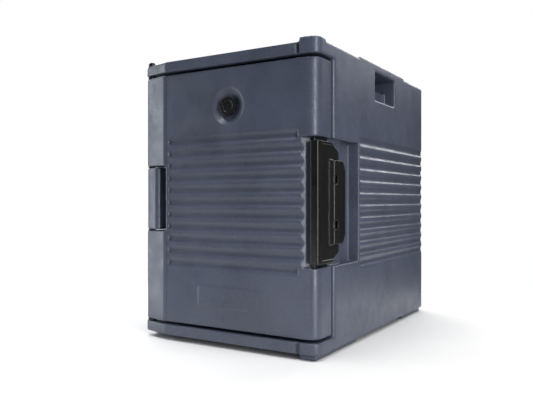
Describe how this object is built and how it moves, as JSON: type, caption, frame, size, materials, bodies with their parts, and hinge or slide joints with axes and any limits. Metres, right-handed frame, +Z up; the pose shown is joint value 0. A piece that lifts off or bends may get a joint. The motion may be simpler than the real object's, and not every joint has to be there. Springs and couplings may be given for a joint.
{
  "type": "insulated food carrier",
  "caption": "Front-loading insulated carrier for food pans, with a fold-back side-hinged door, a vent cap, an over-centre latch and stacking feet.",
  "frame": {"origin": "on the floor under the middle of the carrier", "axes": "+Z up, the door faces -Y, the hinge is on the -X side and the latch on the +X side"},
  "size_m": [0.45, 0.66, 0.625],
  "materials": {
    "shell_plastic": "satin",
    "foam": "matte",
    "black_nylon": "satin",
    "gasket_rubber": "matte",
    "seal_rubber": "matte",
    "grey_nylon": "satin",
    "stainless": "satin",
    "brass": "satin"
  },
  "bodies": {
    "cabinet": {"cabinet_skin": "shell_plastic", "cabinet_foam": "foam", "cabinet_fill_plugs": "black_nylon", "hinge_rod": "stainless", "hinge_rod_knob": "black_nylon", "hinge_rod_clip": "stainless", "latch_base": "black_nylon", "latch_base_inserts": "brass", "latch_base_screws": "stainless", "lever_pin": "stainless"},
    "door": {"door_skin": "shell_plastic", "door_foam": "foam", "door_fill_plugs": "black_nylon", "door_gasket": "gasket_rubber", "vent_sleeve": "grey_nylon", "vent_nut": "grey_nylon", "vent_seal": "seal_rubber", "hinge_bushes": "black_nylon", "latch_keeper": "black_nylon", "keeper_inserts": "brass", "keeper_screws": "stainless"},
    "vent_cap": {"vent_cap": "black_nylon"},
    "latch_lever": {"latch_lever": "black_nylon", "claw_pins": "stainless"},
    "latch_claw": {"latch_claw": "black_nylon"}
  },
  "joints": [
    {"name": "door_swing", "type": "hinge", "parent": "cabinet", "child": "door", "pos_m": [-0.211, -0.308, 0.3135], "axis": [0, 0, -1], "range_deg": [0, 270]},
    {"name": "vent_turn", "type": "hinge", "parent": "door", "child": "vent_cap", "pos_m": [0.012, -0.32, 0.506], "axis": [0, -1, 0], "range_deg": [0, 90]},
    {"name": "lever_swing", "type": "hinge", "parent": "cabinet", "child": "latch_lever", "pos_m": [0.218, -0.246, 0.3055], "axis": [0, 0, -1], "range_deg": [0, 100]},
    {"name": "claw_swing", "type": "hinge", "parent": "latch_lever", "child": "latch_claw", "pos_m": [0.2165, -0.23, 0.3055], "axis": [0, 0, 1], "range_deg": [0, 120]}
  ],
  "couplings": [
    {"joint": "claw_swing", "follows": "lever_swing", "ratio": 1.2}
  ]
}
